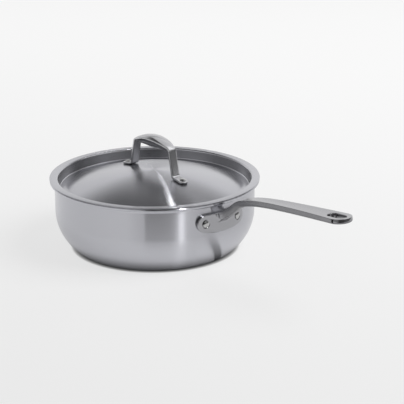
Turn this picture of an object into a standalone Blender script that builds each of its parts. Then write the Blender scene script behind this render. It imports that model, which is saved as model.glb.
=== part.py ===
"""A saucier with its lid, in stainless steel: a round-sided pan with a pouring lip and a riveted
long handle, and a domed lid that drops into the pan's mouth and rests on the lip.

Metres, +Z up. The origin is the centre of the flat base, and +X runs along the handle.
"""

import math

import bmesh
import bpy
from mathutils import Matrix, Vector

MM = 0.001

# Fits and flats
CLEARANCE = 0.3 * MM  # kept between pieces that touch
SEGMENTS = 64  # flats round the pan and the lid
RIVET_SEGMENTS = 16  # flats round a rivet and its hole
WELD = 0.01 * MM  # points this near become one
CUT_PAST = 5.0 * MM  # how far a cutter runs past what it cuts

# Pan body: its outer skin, and the thickness of the bonded sheet inside it
WALL = 2.8 * MM
PAN_RADIUS = 124.0 * MM  # the straight wall, outside
PAN_HEIGHT = 87.5 * MM  # from the base to the top of the lip
BASE_RADIUS = 96.0 * MM  # the flat that the pan stands on
HEEL_RADIUS = 6.5 * MM  # the small curve round the base
STRAIGHT_DEPTH = 39.1 * MM  # from the top of the lip down to where the side starts to curve in
LIP_CURVE = 4.5 * MM  # radius under the flare
LIP_LAND = 1.5 * MM  # flat width of the lip past the flare
LIP_EDGE = 0.7 * MM  # rounding of the lip's edges

# Lid: a pressed sheet with a flat flange, a step down into the pan and a crown
LID_SHEET = 1.1 * MM
LID_OVERHANG = 0.2 * MM  # how far the flange passes the pan's lip
LID_EDGE = 0.3 * MM  # rounding of the flange's edge
STEP_DEPTH = 13.4 * MM  # from the flange down to the channel's floor
STEP_DRAFT = math.radians(8.0)  # lean of the step's wall
STEP_GAP = 2.1 * MM  # from the foot of the step to the pan's inner wall
STEP_FOOT = 1.5 * MM  # the bend at the step's foot
STEP_SHOULDER = 2.4 * MM  # the bend between the step and the flange
CHANNEL_WIDTH = 9.0 * MM  # from the step's foot to the edge of the crown
CROWN_RISE = 21.5 * MM  # from the channel's floor to the middle of the crown
CROWN_FILLET = 12.0 * MM  # the curve between the crown and the channel

# Bracket: the plate that holds the long handle to the wall
RIVET_ANGLE = math.radians(11.25)  # each rivet's place round the wall from the handle
RIVET_DROP = 24.3 * MM  # from the top of the lip down to the rivets
PLATE_THICK = 3.7 * MM
LOBE_RADIUS = 11.0 * MM  # the plate's rounded ends, about the rivets
PLATE_DROP = 2.5 * MM  # how far the lower edge bows below the lobes
PLATE_EDGE = 1.0 * MM  # rounding of the plate's front edge

# Long handle, row by row from inside the bracket to the middle of the rounded tip:
# the run since the row before, the heading above level, half the width, the thickness, how far
# the top is dished, and the height of the sloping band below the top's edge
ROOT_STANDOFF = 1.1 * MM  # from the plate's inner face out to the first row
ROOT_RISE = 3.7 * MM  # from the rivets up to the first row
HANDLE_ROWS = (
    (0.0 * MM, 30.0, 15.0 * MM, 12.5 * MM, 1.4 * MM, 0.5 * MM),
    (5.0 * MM, 31.5, 10.8 * MM, 9.4 * MM, 1.6 * MM, 0.5 * MM),
    (15.0 * MM, 36.0, 8.2 * MM, 8.4 * MM, 1.4 * MM, 0.6 * MM),
    (16.0 * MM, 42.0, 8.0 * MM, 8.2 * MM, 1.0 * MM, 0.8 * MM),
    (14.0 * MM, 18.0, 8.3 * MM, 8.6 * MM, 0.6 * MM, 2.4 * MM),
    (30.0 * MM, 9.0, 9.2 * MM, 8.2 * MM, 0.5 * MM, 4.4 * MM),
    (30.0 * MM, 6.0, 10.2 * MM, 8.0 * MM, 0.5 * MM, 4.4 * MM),
    (45.0 * MM, 5.0, 11.9 * MM, 7.7 * MM, 0.4 * MM, 4.2 * MM),
    (46.3 * MM, 4.5, 14.5 * MM, 7.0 * MM, 0.3 * MM, 3.6 * MM),
)
ROW_STEPS = 3  # rings from one row to the next
NECK_TURN = 8.0 * MM  # run in which the rings turn from upright to square across the handle
BAND_SLOPE = 0.35  # how far the band leans in for its height
DISH_BREAK = 0.6  # where the dished top's curve is broken, as a share of its half width
UNDERSIDE_POWER = 3.0  # 2 is an ellipse, and more is squarer
HOLE_LENGTH = 25.0 * MM  # the hanging hole
HOLE_WIDTH = 13.0 * MM
HOLE_MARGIN = 5.5 * MM  # from the tip to the hole

# Lid handle: an arch that swells in the middle, on two legs with riveted feet
FOOT_REACH = 53.0 * MM  # from the lid's centre to each rivet
FOOT_THICK = 3.0 * MM
FOOT_HALF_WIDTH = 6.4 * MM
LEG_THICK = 3.5 * MM
LEG_HALF_WIDTH = 5.8 * MM
LEG_LEAN = math.radians(11.6)  # how far the legs splay from upright
ARCH_TOP = 44.0 * MM  # top of the arch above the crown
ARCH_RADIUS = 70.0 * MM
ARCH_ANGLE = math.radians(26.9)  # from the middle of the arch to each corner
ARCH_HALF_WIDTH = 10.5 * MM
ARCH_CROWN = 3.7 * MM  # height of the arch's top above its edges
ARCH_BELLY = 12.4 * MM  # depth of the arch's underside below its edges
CORNER_BEND = 4.0 * MM
FOOT_BEND = 4.0 * MM
ARCH_POWER = 1.7  # the arch's section: below 2, its two sides meet in a soft edge
LEG_POWER = 5.0  # the legs' and feet's section, nearly a rectangle

# Rivets: the shank, the head that shows and the flatter head on the hidden side
PAN_SHANK = 3.2 * MM
PAN_HEAD_COVER = 0.5 * MM  # how far the head reaches past the edge of its hole
PAN_HEAD_RISE = 1.5 * MM
PAN_INNER_COVER = 3.0 * MM
PAN_INNER_RISE = 1.8 * MM
DISH_MARGIN = 1.3 * MM  # from the head to the edge of the shallow dish sunk in the bracket
DISH_DEPTH = 0.5 * MM
LID_SHANK = 2.2 * MM
LID_HEAD_COVER = 0.9 * MM
LID_HEAD_RISE = 1.2 * MM
LID_INNER_COVER = 2.3 * MM
LID_INNER_RISE = 1.4 * MM
HEAD_BRIM = 0.4 * MM  # straight edge of every rivet head

# Sizes that follow
INNER_RADIUS = PAN_RADIUS - WALL
LIP_RADIUS = PAN_RADIUS + LIP_CURVE + LIP_LAND
SIDE_HEIGHT = PAN_HEIGHT - STRAIGHT_DEPTH
RIVET_HEIGHT = PAN_HEIGHT - RIVET_DROP
PLATE_INNER = PAN_RADIUS + CLEARANCE
PLATE_OUTER = PLATE_INNER + PLATE_THICK
LOBE_REACH = PLATE_INNER * RIVET_ANGLE
HANDLE_ROOT = Vector((PLATE_INNER + ROOT_STANDOFF, 0.0, RIVET_HEIGHT + ROOT_RISE))
FLANGE_TOP = PAN_HEIGHT + CLEARANCE + LID_SHEET
CHANNEL_FLOOR = FLANGE_TOP - STEP_DEPTH
CROWN_TOP = CHANNEL_FLOOR + CROWN_RISE
STEP_FOOT_RADIUS = INNER_RADIUS - STEP_GAP - LID_SHEET / math.cos(STEP_DRAFT)
CROWN_EDGE = STEP_FOOT_RADIUS - CHANNEL_WIDTH
CROWN_RADIUS = (CROWN_EDGE**2 + CROWN_RISE**2) / (2 * CROWN_RISE)
CROWN_STEPS = 7
FOOT_TILT = math.asin(FOOT_REACH / CROWN_RADIUS)
PAN_HOLE = PAN_SHANK + CLEARANCE
PAN_HEAD = PAN_HOLE + PAN_HEAD_COVER
PAN_INNER_HEAD = PAN_HOLE + PAN_INNER_COVER
LID_HOLE = LID_SHANK + CLEARANCE
LID_HEAD = LID_HOLE + LID_HEAD_COVER
LID_INNER_HEAD = LID_HOLE + LID_INNER_COVER


def clear_scene():
    for obj in list(bpy.data.objects):
        bpy.data.objects.remove(obj, do_unlink=True)


def steel(name, color, roughness):
    material = bpy.data.materials.new(name)
    material.use_nodes = True
    shader = material.node_tree.nodes["Principled BSDF"]
    shader.inputs["Base Color"].default_value = (*color, 1.0)
    shader.inputs["Roughness"].default_value = roughness
    shader.inputs["Metallic"].default_value = 1.0
    return material


def add_object(name, mesh, collection, material=None):
    obj = bpy.data.objects.new(name, mesh)
    collection.objects.link(obj)
    if material:
        mesh.materials.append(material)
    return obj


def add_cutter(name, mesh, place):
    obj = add_object(name, mesh, cutters)
    obj.matrix_world = place
    obj.hide_render = True
    obj.display_type = "WIRE"
    return obj


def mesh_from(name, bm, smooth_below=40.0):
    """Ends a bmesh as a mesh that is shaded smooth, with its sharper edges kept."""
    mesh = bpy.data.meshes.new(name)
    bm.to_mesh(mesh)
    bm.free()
    mesh.shade_smooth()
    mesh.set_sharp_from_angle(angle=math.radians(smooth_below))
    return mesh


def arc(centre, radius, start, end, steps):
    """Points on an arc of a profile, from the start angle to the end one, in radians from +X."""
    angles = [start + (end - start) * i / steps for i in range(steps + 1)]
    return [(centre[0] + radius * math.cos(a), centre[1] + radius * math.sin(a)) for a in angles]


def turned(name, profile, segments, collection, material):
    """A profile of (radius, height) points turned about the Z axis."""
    mesh = bpy.data.meshes.new(name)
    points = [(x, 0.0, z) for x, z in profile]
    mesh.from_pydata(points, [(i, i + 1) for i in range(len(points) - 1)], [])
    obj = add_object(name, mesh, collection, material)
    screw = obj.modifiers.new("Turn", "SCREW")
    screw.steps = screw.render_steps = segments
    screw.use_merge_vertices = True
    screw.merge_threshold = WELD
    screw.use_smooth_shade = True
    return obj


def thicken(obj, thickness):
    solidify = obj.modifiers.new("Sheet", "SOLIDIFY")
    solidify.thickness = thickness
    solidify.offset = -1.0
    solidify.use_even_offset = True


def round_edges(obj, width, segments):
    bevel = obj.modifiers.new("Edges", "BEVEL")
    bevel.width = width
    bevel.segments = segments
    bevel.limit_method = "ANGLE"
    bevel.angle_limit = math.radians(60.0)


def combine(obj, other, operation):
    boolean = obj.modifiers.new(other.name, "BOOLEAN")
    boolean.operation = operation
    boolean.object = other


def half_flat(segments):
    """Turns a hole, and the rivet in it, so that no corner lies on a fold of what it goes through."""
    return Matrix.Rotation(math.pi / segments, 4, "Z")


def cylinder_mesh(name, radius, low, high, segments):
    bm = bmesh.new()
    middle = Matrix.Translation((0.0, 0.0, (low + high) / 2)) @ half_flat(segments)
    bmesh.ops.create_cone(bm, cap_ends=True, segments=segments, radius1=radius, radius2=radius,
                          depth=high - low, matrix=middle)
    return mesh_from(name, bm)


def wall_place(angle, height):
    """A frame whose Z axis runs out from the pan's axis through the wall."""
    turn = Matrix.Rotation(angle, 4, "Z") @ Matrix.Rotation(math.radians(90.0), 4, "Y")
    return Matrix.Translation((0.0, 0.0, height)) @ turn


def foot_place(side):
    """A frame on the crown's top skin at one rivet of the lid handle, with Z square to the skin."""
    x = side * FOOT_REACH
    z = CROWN_TOP - CROWN_RADIUS * (1.0 - math.cos(FOOT_TILT))
    return Matrix.Translation((x, 0.0, z)) @ Matrix.Rotation(side * FOOT_TILT, 4, "Y")


def pan_profile():
    """The pan's outer skin, from the edge of the lip down to the middle of the base."""
    under_lip = PAN_HEIGHT - WALL
    flare = (PAN_RADIUS + LIP_CURVE, under_lip - LIP_CURVE)
    reach = PAN_RADIUS - BASE_RADIUS
    rise = SIDE_HEIGHT - HEEL_RADIUS
    side_radius = (reach**2 + rise**2 - HEEL_RADIUS**2) / (2 * (reach - HEEL_RADIUS))
    side = (PAN_RADIUS - side_radius, SIDE_HEIGHT)
    heel = (BASE_RADIUS, HEEL_RADIUS)
    heel_start = math.atan2(heel[1] - side[1], heel[0] - side[0])
    points = [(LIP_RADIUS, under_lip)]
    points += arc(flare, LIP_CURVE, math.radians(90.0), math.radians(180.0), 4)
    points += arc(side, side_radius, 0.0, heel_start, 7)
    points += arc(heel, HEEL_RADIUS, heel_start, math.radians(-90.0), 2)[1:]
    points.append((0.0, 0.0))
    return points


def make_pan_body(material):
    obj = turned("pan_body", pan_profile(), SEGMENTS, parts, material)
    thicken(obj, WALL)
    round_edges(obj, LIP_EDGE, 2)
    return obj


def lid_profile():
    """The lid's top skin, from the middle of the crown out to the flange's edge."""
    crown = (0.0, CROWN_TOP - CROWN_RADIUS)
    fillet_height = CHANNEL_FLOOR + CROWN_FILLET
    span = CROWN_RADIUS + CROWN_FILLET
    fillet = (math.sqrt(span**2 - (fillet_height - crown[1]) ** 2), fillet_height)
    meet = math.atan2(fillet[1] - crown[1], fillet[0])
    lean = math.radians(90.0) - STEP_DRAFT
    # The bends keep clear of the sharp corners that they round by these lengths.
    foot_cut = STEP_FOOT * math.tan(lean / 2)
    shoulder_cut = STEP_SHOULDER * math.tan(lean / 2)
    shoulder_radius = STEP_FOOT_RADIUS + STEP_DEPTH * math.tan(STEP_DRAFT)
    foot = (STEP_FOOT_RADIUS - foot_cut, CHANNEL_FLOOR + STEP_FOOT)
    shoulder = (shoulder_radius + shoulder_cut, FLANGE_TOP - STEP_SHOULDER)
    down = math.radians(-90.0)
    points = arc(crown, CROWN_RADIUS, math.radians(90.0), meet, CROWN_STEPS)
    points += arc(fillet, CROWN_FILLET, meet - math.radians(180.0), down, 2)[1:]
    points += arc(foot, STEP_FOOT, down, down + lean, 2)
    points += arc(shoulder, STEP_SHOULDER, math.radians(90.0) + lean, math.radians(90.0), 3)
    points.append((LIP_RADIUS + LID_OVERHANG, FLANGE_TOP))
    return points


def make_lid_shell(material):
    obj = turned("lid_shell", lid_profile(), SEGMENTS, parts, material)
    thicken(obj, LID_SHEET)
    round_edges(obj, LID_EDGE, 1)
    return obj


def plate_outline():
    """The bracket's outline laid flat: two lobes, a straight top edge and a bowed lower edge."""
    lift = (LOBE_REACH**2 - PLATE_DROP**2) / (2 * PLATE_DROP)
    bow_radius = lift + LOBE_RADIUS + PLATE_DROP
    swing = math.atan2(LOBE_REACH, lift)
    down = math.radians(-90.0)
    up = math.radians(90.0)
    points = arc((LOBE_REACH, 0.0), LOBE_RADIUS, up, down + swing, 9)
    points += arc((0.0, lift), bow_radius, down + swing, down - swing, 6)[1:-1]
    points += arc((-LOBE_REACH, 0.0), LOBE_RADIUS, down - swing, -math.radians(270.0), 9)
    return points


def make_plate():
    """The bracket's plate, cut flat from its outline, edged, and bent round the pan's wall."""
    outline = bpy.data.curves.new("bracket_outline", "CURVE")
    outline.dimensions = "2D"
    outline.fill_mode = "BOTH"
    outline.extrude = PLATE_THICK / 2
    points = plate_outline()
    spline = outline.splines.new("POLY")
    spline.points.add(len(points) - 1)
    for point, (across, up) in zip(spline.points, points):
        point.co = (across, up, 0.0, 1.0)
    spline.use_cyclic_u = True
    flat = add_object("bracket_outline", outline, cutters)
    bpy.context.view_layer.update()
    graph = bpy.context.evaluated_depsgraph_get()
    mesh = bpy.data.meshes.new_from_object(flat.evaluated_get(graph))
    bpy.data.objects.remove(flat)

    bm = bmesh.new()
    bm.from_mesh(mesh)
    bmesh.ops.remove_doubles(bm, verts=bm.verts, dist=WELD)
    front = PLATE_THICK / 2 - WELD
    rim = [e for e in bm.edges if all(v.co.z > front for v in e.verts) and e.calc_face_angle(0.0) > 1.0]
    bmesh.ops.bevel(bm, geom=rim, offset=PLATE_EDGE, segments=2, profile=0.5, affect="EDGES")
    flat_width = PLATE_INNER * 2 * math.pi / SEGMENTS
    folds = int((LOBE_REACH + LOBE_RADIUS) / flat_width)
    for fold in range(-folds, folds + 1):
        geom = bm.verts[:] + bm.edges[:] + bm.faces[:]
        bmesh.ops.bisect_plane(bm, geom=geom, dist=WELD, plane_co=(fold * flat_width, 0.0, 0.0),
                               plane_no=(1.0, 0.0, 0.0))
    for vert in bm.verts:
        angle = vert.co.x / PLATE_INNER
        radius = PLATE_INNER + vert.co.z + PLATE_THICK / 2
        vert.co = (radius * math.cos(angle), radius * math.sin(angle), RIVET_HEIGHT + vert.co.y)
    bmesh.ops.recalc_face_normals(bm, faces=bm.faces)
    return add_cutter("bracket_plate", mesh_from("bracket_plate", bm), Matrix.Identity(4))


def walk(point, heading, length, turn, steps):
    """Places along an arc in the XZ plane: (point, heading) after each step, without the start."""
    places = []
    for _ in range(steps):
        step_turn = turn / steps
        bend = step_turn / 2
        chord = length / steps * (math.sin(bend) / bend if bend else 1.0)
        heading += bend
        point = point + Vector((math.cos(heading), 0.0, math.sin(heading))) * chord
        heading += bend
        places.append((point, heading))
    return places


def ring_of(bm, place, section):
    """Adds a section's points: (across, up) pairs, first down the right side and then up the left."""
    right = [(across, up) for across, up in section]
    left = [(-across, up) for across, up in section[-2:0:-1]]
    return [bm.verts.new(place @ Vector((0.0, across, up))) for across, up in right + left]


def bridge(bm, ring, following):
    count = len(ring)
    for i in range(count):
        j = (i + 1) % count
        bm.faces.new((ring[i], ring[j], following[j], following[i]))


def spin_end(bm, place, ring, section, steps):
    """Closes a loft with a rounded end: the section's right half turned over to its left half."""
    half = len(section) - 1
    top, bottom = ring[0], ring[half]
    strips = [ring[1:half]]
    for step in range(1, steps):
        angle = math.radians(180.0) * step / steps
        along, aside = math.sin(angle), math.cos(angle)
        swung = [Vector((across * along, across * aside, up)) for across, up in section[1:half]]
        strips.append([bm.verts.new(place @ point) for point in swung])
    strips.append(ring[:half:-1])
    for strip, following in zip(strips, strips[1:]):
        bm.faces.new((top, strip[0], following[0]))
        bm.faces.new((bottom, following[-1], strip[-1]))
        for i in range(len(strip) - 1):
            bm.faces.new((strip[i], strip[i + 1], following[i + 1], following[i]))


def section_place(point, lean):
    """A frame with X along the piece, Y across it and Z up out of its top."""
    return Matrix.Translation(point) @ Matrix.Rotation(-lean, 4, "Y")


def blend(start, end, share):
    return start + (end - start) * share


def handle_section(half_width, thickness, dish, band):
    """The long handle's section: a dished top, a sloping band and a rounded underside."""
    top = thickness / 2
    top_half = half_width - band * BAND_SLOPE
    crease = top - band
    depth = thickness - band
    points = [(0.0, top - dish), (top_half * DISH_BREAK, top - dish * (1 - DISH_BREAK**2))]
    points += [(top_half, top), (half_width, crease)]
    for step in range(1, 5):
        angle = math.radians(90.0) * step / 5
        across = half_width * math.cos(angle) ** (2 / UNDERSIDE_POWER)
        points.append((across, crease - depth * math.sin(angle) ** (2 / UNDERSIDE_POWER)))
    points.append((0.0, -top))
    return points


def handle_stations():
    """(frame, section) of each ring of the long handle, from the bracket to the tip's centre."""
    point = HANDLE_ROOT
    run = 0.0
    stations = []
    for before, row in zip(HANDLE_ROWS, HANDLE_ROWS[1:]):
        heading = math.radians(before[1])
        turn = math.radians(row[1]) - heading
        places = walk(point, heading, row[0], turn, ROW_STEPS)
        if not stations:
            places.insert(0, (point, heading))
        first = ROW_STEPS + 1 - len(places)
        for i, (spot, facing) in enumerate(places, first):
            share = i / ROW_STEPS
            lean = facing * min(1.0, (run + row[0] * share) / NECK_TURN)
            sizes = [blend(a, b, share) for a, b in zip(before[2:], row[2:])]
            stations.append((section_place(spot, lean), handle_section(*sizes)))
        point = places[-1][0]
        run += row[0]
    return stations


def make_pan_handle(material):
    bm = bmesh.new()
    ring = None
    for place, section in handle_stations():
        following = ring_of(bm, place, section)
        if ring:
            bridge(bm, ring, following)
        else:
            bm.faces.new(following)
        ring = following
    spin_end(bm, place, ring, section, 10)
    bmesh.ops.recalc_face_normals(bm, faces=bm.faces)
    obj = add_object("pan_handle", mesh_from("pan_handle", bm, 30.0), parts, material)
    combine(obj, make_plate(), "UNION")

    tip_radius, tip_thickness = HANDLE_ROWS[-1][2:4]
    centre = tip_radius - HOLE_MARGIN - HOLE_LENGTH / 2
    reach = tip_thickness / 2 + CUT_PAST
    hole = cylinder_mesh("hanging_hole", HOLE_WIDTH / 2, -reach, reach, 24)
    for vert in hole.vertices:
        vert.co.x += math.copysign((HOLE_LENGTH - HOLE_WIDTH) / 2, vert.co.x) + centre
    combine(obj, add_cutter("hanging_hole", hole, place), "DIFFERENCE")
    return obj


def arch_section(half_width, crown, belly, power):
    """A section of the lid handle: a superellipse, deeper below its edges than above them."""
    points = []
    for step in range(9):
        angle = math.radians(90.0 - 22.5 * step)
        height = crown if step < 4 else belly
        across = half_width * abs(math.cos(angle)) ** (2 / power)
        up = math.copysign(height * abs(math.sin(angle)) ** (2 / power), math.sin(angle))
        points.append((across if 0 < step < 8 else 0.0, up))
    return points


def lid_handle_stations():
    """(frame, section) of each ring of half the lid handle, from the arch's middle to a rivet."""
    point = Vector((0.0, 0.0, CROWN_TOP + ARCH_TOP - ARCH_CROWN))
    leg_half = LEG_THICK / 2
    foot_half = FOOT_THICK / 2
    stations = []
    arch_steps = 6
    places = [(point, 0.0)] + walk(point, 0.0, ARCH_RADIUS * ARCH_ANGLE, -ARCH_ANGLE, arch_steps)
    for i, (spot, heading) in enumerate(places):
        share = (i / arch_steps) ** 2
        section = arch_section(blend(ARCH_HALF_WIDTH, LEG_HALF_WIDTH, share),
                               blend(ARCH_CROWN, leg_half, share),
                               blend(ARCH_BELLY, leg_half, share),
                               blend(ARCH_POWER, LEG_POWER, share))
        stations.append((section_place(spot, heading), section))

    down_leg = LEG_LEAN - math.radians(90.0)
    turn = down_leg + ARCH_ANGLE
    leg_section = arch_section(LEG_HALF_WIDTH, leg_half, leg_half, LEG_POWER)
    corner = walk(*places[-1], CORNER_BEND * -turn, turn, 3)
    stations += [(section_place(*place), leg_section) for place in corner]

    # The leg's and the foot's lengths are what brings the foot's middle over its rivet.
    foot_turn = -FOOT_TILT - down_leg
    bend = walk(Vector(), down_leg, FOOT_BEND * foot_turn, foot_turn, 4)
    target = foot_place(1) @ Vector((0.0, 0.0, CLEARANCE + foot_half))
    gap = target - corner[-1][0] - bend[-1][0]
    leg_x, leg_z = math.cos(down_leg), math.sin(down_leg)
    foot_x, foot_z = math.cos(FOOT_TILT), -math.sin(FOOT_TILT)
    scale = leg_x * foot_z - leg_z * foot_x
    leg_length = (gap.x * foot_z - gap.z * foot_x) / scale
    knee = corner[-1][0] + Vector((leg_x, 0.0, leg_z)) * leg_length
    for i, (spot, heading) in enumerate([(Vector(), down_leg)] + bend):
        share = i / len(bend)
        thick = blend(leg_half, foot_half, share)
        section = arch_section(blend(LEG_HALF_WIDTH, FOOT_HALF_WIDTH, share), thick, thick, LEG_POWER)
        stations.append((section_place(knee + spot, heading), section))
    foot_section = arch_section(FOOT_HALF_WIDTH, foot_half, foot_half, LEG_POWER)
    stations.append((section_place(target, -FOOT_TILT), foot_section))
    return stations


def make_lid_handle(material):
    bm = bmesh.new()
    ring = None
    for place, section in lid_handle_stations():
        following = ring_of(bm, place, section)
        if ring:
            bridge(bm, ring, following)
        ring = following
    spin_end(bm, place, ring, section, 8)
    bmesh.ops.recalc_face_normals(bm, faces=bm.faces)
    obj = add_object("lid_handle", mesh_from("lid_handle", bm), parts, material)
    mirror = obj.modifiers.new("Other side", "MIRROR")
    mirror.merge_threshold = WELD
    return obj


def head_profile(radius, rise, seat, way):
    """A low domed head from its middle to its seat. It stands out from the seat upwards, or down."""
    dome = rise - HEAD_BRIM
    ball = (radius**2 + dome**2) / (2 * dome)
    reach = math.asin(radius / ball)
    points = []
    for step in range(4):
        angle = reach * step / 3
        drop = ball * (1.0 - math.cos(angle))
        points.append((ball * math.sin(angle), seat + way * (rise - drop)))
    points.append((radius, seat))
    return points


def make_rivet(name, heads, shank, place, material):
    """A rivet whose Z axis runs out through its visible head. Each head is (radius, rise, seat)."""
    outer, inner = heads
    profile = head_profile(*outer, 1)
    profile += [(shank, outer[2]), (shank, inner[2])]
    profile += head_profile(*inner, -1)[::-1]
    obj = turned(name, profile, RIVET_SEGMENTS, parts, material)
    obj.matrix_world = place @ half_flat(RIVET_SEGMENTS)
    return obj


def make_pan_rivet(name, side, material):
    """A rivet through the bracket and the wall. Its inner seat allows for the wall's hollow and flats."""
    hollow = PAN_INNER_HEAD**2 / (2 * INNER_RADIUS)
    inner_seat = INNER_RADIUS * math.cos(math.pi / SEGMENTS) - hollow - CLEARANCE
    heads = ((PAN_HEAD, PAN_HEAD_RISE, PLATE_OUTER - DISH_DEPTH + CLEARANCE),
             (PAN_INNER_HEAD, PAN_INNER_RISE, inner_seat))
    return make_rivet(name, heads, PAN_SHANK, wall_place(side * RIVET_ANGLE, RIVET_HEIGHT), material)


def make_lid_rivet(name, side, material):
    """A rivet through a foot and the crown. Its inner seat allows for the crown's hollow and flats."""
    crown_sag = CROWN_RADIUS * (1.0 - math.cos(math.asin(CROWN_EDGE / CROWN_RADIUS) / CROWN_STEPS / 2))
    flat_sag = FOOT_REACH * (1.0 - math.cos(math.pi / SEGMENTS))
    hollow = LID_INNER_HEAD**2 / (2 * CROWN_RADIUS) + crown_sag + flat_sag
    heads = ((LID_HEAD, LID_HEAD_RISE, CLEARANCE + FOOT_THICK + CLEARANCE),
             (LID_INNER_HEAD, LID_INNER_RISE, -LID_SHEET - hollow - CLEARANCE))
    return make_rivet(name, heads, LID_SHANK, foot_place(side), material)


def cut_rivet_holes(body, handle, lid, lid_grip):
    for side, name in ((1, "left"), (-1, "right")):
        place = wall_place(side * RIVET_ANGLE, RIVET_HEIGHT)
        shank = cylinder_mesh("wall_hole", PAN_HOLE, INNER_RADIUS - CUT_PAST, PLATE_OUTER + CUT_PAST,
                              RIVET_SEGMENTS)
        hole = add_cutter(f"wall_hole_{name}", shank, place)
        combine(body, hole, "DIFFERENCE")
        combine(handle, hole, "DIFFERENCE")
        dish = cylinder_mesh("dish", PAN_HEAD + DISH_MARGIN, PLATE_OUTER - DISH_DEPTH,
                             PLATE_OUTER + CUT_PAST, RIVET_SEGMENTS)
        combine(handle, add_cutter(f"dish_{name}", dish, place), "DIFFERENCE")
    for side, name in ((1, "front"), (-1, "rear")):
        shank = cylinder_mesh("foot_hole", LID_HOLE, -CUT_PAST, FOOT_THICK + CUT_PAST, RIVET_SEGMENTS)
        hole = add_cutter(f"foot_hole_{name}", shank, foot_place(side))
        combine(lid, hole, "DIFFERENCE")
        combine(lid_grip, hole, "DIFFERENCE")


clear_scene()
parts = bpy.data.collections.new("saucier_with_lid")
cutters = bpy.data.collections.new("cutters")
for group in (parts, cutters):
    bpy.context.scene.collection.children.link(group)

pan_body = make_pan_body(steel("brushed_pan", (0.60, 0.60, 0.61), 0.26))
pan_handle = make_pan_handle(steel("satin_handle", (0.58, 0.58, 0.59), 0.22))
lid_shell = make_lid_shell(steel("brushed_lid", (0.60, 0.60, 0.61), 0.24))
lid_handle = make_lid_handle(steel("satin_lid_handle", (0.55, 0.55, 0.56), 0.22))
rivet_steel = steel("polished_rivets", (0.62, 0.62, 0.62), 0.15)
make_pan_rivet("pan_handle_rivet_left", 1, rivet_steel)
make_pan_rivet("pan_handle_rivet_right", -1, rivet_steel)
make_lid_rivet("lid_handle_rivet_front", 1, rivet_steel)
make_lid_rivet("lid_handle_rivet_rear", -1, rivet_steel)
cut_rivet_holes(pan_body, pan_handle, lid_shell, lid_handle)
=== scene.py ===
import math

import bmesh
import bpy
from mathutils import Matrix, Vector
from mathutils.kdtree import KDTree


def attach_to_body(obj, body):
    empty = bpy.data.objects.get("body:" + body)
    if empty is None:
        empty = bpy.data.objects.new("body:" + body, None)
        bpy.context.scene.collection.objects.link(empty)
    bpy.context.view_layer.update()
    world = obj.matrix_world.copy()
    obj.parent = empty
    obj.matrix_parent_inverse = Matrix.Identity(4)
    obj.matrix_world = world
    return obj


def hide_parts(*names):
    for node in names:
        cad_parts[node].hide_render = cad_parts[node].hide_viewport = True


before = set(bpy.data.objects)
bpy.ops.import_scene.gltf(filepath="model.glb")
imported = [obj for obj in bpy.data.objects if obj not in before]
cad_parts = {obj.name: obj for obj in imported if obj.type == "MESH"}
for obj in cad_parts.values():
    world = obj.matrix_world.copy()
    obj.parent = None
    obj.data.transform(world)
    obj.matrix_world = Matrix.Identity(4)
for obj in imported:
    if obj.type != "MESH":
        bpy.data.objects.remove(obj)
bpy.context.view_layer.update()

MM = 0.001
QUARTER = math.radians(90.0)  # a quarter turn
WELD = 0.002 * MM  # points closer together than this are one point
TOUCH = 0.01 * MM  # points closer to a plane than this lie in it
SMOOTH_BELOW = math.radians(30.0)  # edges flatter than this are shaded smooth
SOFTEN_LIMIT = 0.45  # the share of a straight side that a softened corner may take

# Sizes of the pan and its lid, as the solids have them
ROUND = 256  # flats round the pan and the lid
CLEARANCE = 0.3 * MM  # between pieces that touch
WALL = 2.8 * MM
PAN_RADIUS = 124.0 * MM
PAN_HEIGHT = 87.5 * MM
BASE_RADIUS = 96.0 * MM
BASE_RINGS = (0.75, 0.4, 0.08)  # the shares of the base's radius at which its face has a ring
HEEL_RADIUS = 6.5 * MM
SIDE_HEIGHT = 48.4 * MM  # where the curved side meets the upright wall
LIP_CURVE = 4.5 * MM
LIP_RADIUS = 130.0 * MM
LIP_EDGE = 0.8 * MM
RIM_SEGMENTS = 4  # flats in the rounded edge of the lip and of the flange
RIM_ANGLE = math.radians(60.0)  # a corner sharper than this is rounded
LID_SHEET = 1.1 * MM
FLANGE_RADIUS = 130.2 * MM
FLANGE_TOP = PAN_HEIGHT + CLEARANCE + LID_SHEET
LID_EDGE = 0.5 * MM
STEP_DEPTH = 13.4 * MM
STEP_LEAN = math.radians(82.0)
STEP_FOOT_RADIUS = 118.0 * MM
STEP_FOOT = 1.5 * MM
STEP_SHOULDER = 2.4 * MM
CHANNEL_FLOOR = FLANGE_TOP - STEP_DEPTH
CROWN_RISE = 21.5 * MM
CROWN_EDGE = 109.0 * MM
CROWN_FILLET = 12.0 * MM
CROWN_TOP = CHANNEL_FLOOR + CROWN_RISE
CROWN_RADIUS = (CROWN_EDGE**2 + CROWN_RISE**2) / (2 * CROWN_RISE)

# The bracket and the long handle
RIVET_ANGLE = math.radians(11.25)
RIVET_HEIGHT = 63.2 * MM
PLATE_INNER = PAN_RADIUS + CLEARANCE
PLATE_THICK = 3.7 * MM
PLATE_OUTER = PLATE_INNER + PLATE_THICK
PLATE_EDGE = 1.0 * MM
PLATE_DROP = 2.5 * MM  # how far the lower edge hangs below the lobes
LOBE_RADIUS = 11.0 * MM
LOBE_REACH = PLATE_INNER * RIVET_ANGLE  # from the middle to a rivet, along the wall
PLATE_STEPS = 24  # points along its straight upper edge
FOLD_STEP = 2.0 * MM  # between the folds that let the flat plate bend round the wall
HANDLE_ROOT = Vector((PLATE_INNER + 1.1 * MM, 0.0, RIVET_HEIGHT + 3.7 * MM))
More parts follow.
